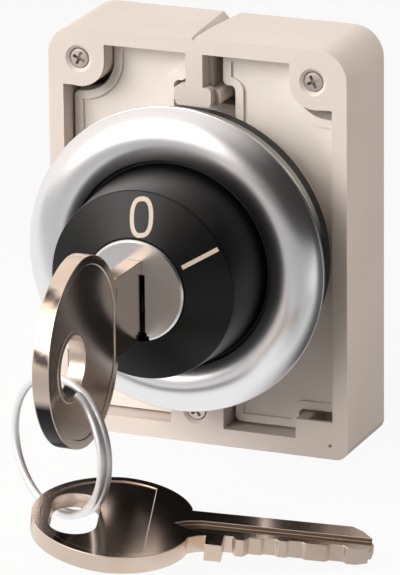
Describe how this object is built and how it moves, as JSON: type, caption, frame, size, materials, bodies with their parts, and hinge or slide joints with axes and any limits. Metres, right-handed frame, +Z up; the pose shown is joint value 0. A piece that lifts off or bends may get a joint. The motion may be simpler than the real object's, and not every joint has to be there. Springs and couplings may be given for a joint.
{
  "type": "key switch",
  "caption": "Key-operated two-position selector switch: rectangular frame, chrome front ring, black lock with a plug, contact blocks behind, key in the lock and a spare key on a split ring.",
  "frame": {"origin": "where the lock's axis meets the plane of the frame's front face", "axes": "the front faces -Y, +Z points up, +X is to the right of a person who faces the front"},
  "size_m": [0.0577, 0.0915, 0.0538],
  "materials": {
    "frame_plastic": "fine satin, warm light beige",
    "panel_plastic": "fine satin, warm light beige",
    "screw_steel": "zinc plated",
    "ring_chrome": "polished",
    "gasket": "light grey, matte",
    "seal_rubber": "black",
    "housing_black": "black, semi-gloss",
    "zinc": "die-cast, nickel plated",
    "plug_silver": "satin nickel plating",
    "cam_white": "natural white",
    "brass": "plain",
    "block_grey": "dark grey, satin",
    "plunger_red": "red",
    "spring_steel": "drawn wire",
    "key_nickel": "nickel plated brass, polished",
    "wire_steel": "nickel plated spring wire"
  },
  "bodies": {
    "switch_body": {"front_frame": "frame_plastic", "inner_panel": "panel_plastic", "rear_cover": "frame_plastic", "frame_screws": "screw_steel", "front_ring": "ring_chrome", "sealing_gasket": "gasket", "housing_seal": "seal_rubber", "lock_housing": "housing_black", "lock_barrel": "zinc", "ring_nut": "zinc", "fixing_adapter": "block_grey", "block_open": "block_grey", "block_closed": "block_grey", "spring_open": "spring_steel", "spring_closed": "spring_steel", "terminals_open": "brass", "terminals_closed": "brass", "terminal_screws": "screw_steel"},
    "lock_rotor": {"lock_plug": "plug_silver", "plug_clip": "screw_steel", "cam_driver": "cam_white", "wafer_1": "brass", "wafer_2": "brass", "wafer_3": "brass", "wafer_4": "brass", "wafer_5": "brass"},
    "switch_key": {"key_1": "key_nickel"},
    "key_ring": {"split_ring": "wire_steel"},
    "spare_key": {"key_2": "key_nickel"},
    "open_plunger": {"plunger_open": "cam_white", "bridge_open": "brass"},
    "closed_plunger": {"plunger_closed": "plunger_red", "bridge_closed": "brass"}
  },
  "joints": [
    {"name": "key_turn", "type": "hinge", "parent": "switch_body", "child": "lock_rotor", "pos_m": [0, 0, 0], "axis": [0, 1, 0], "range_deg": [0, 60]},
    {"name": "key_withdraw", "type": "slide", "parent": "lock_rotor", "child": "switch_key", "axis": [0, -1, 0], "range_m": [0, 0.025]},
    {"name": "ring_swing", "type": "hinge", "parent": "switch_key", "child": "key_ring", "pos_m": [0, -0.0425, -0.003], "axis": [1, 0, 0], "range_deg": [-20, 20]},
    {"name": "spare_key_swing", "type": "hinge", "parent": "key_ring", "child": "spare_key", "pos_m": [-0.00172, -0.04111, -0.01398], "axis": [0.4863, 0.8738, 0], "range_deg": [-5, 40]},
    {"name": "open_plunger_slide", "type": "slide", "parent": "switch_body", "child": "open_plunger", "axis": [0, 1, 0], "range_m": [0, 0.0026], "deforming": ["spring_open"]},
    {"name": "closed_plunger_slide", "type": "slide", "parent": "switch_body", "child": "closed_plunger", "axis": [0, 1, 0], "range_m": [0, 0.0026], "deforming": ["spring_closed"]}
  ],
  "couplings": [
    {"joint": "open_plunger_slide", "follows": "key_turn", "m_per_rad": 0.002387},
    {"joint": "closed_plunger_slide", "follows": "key_turn", "m_per_rad": 0.002387}
  ]
}
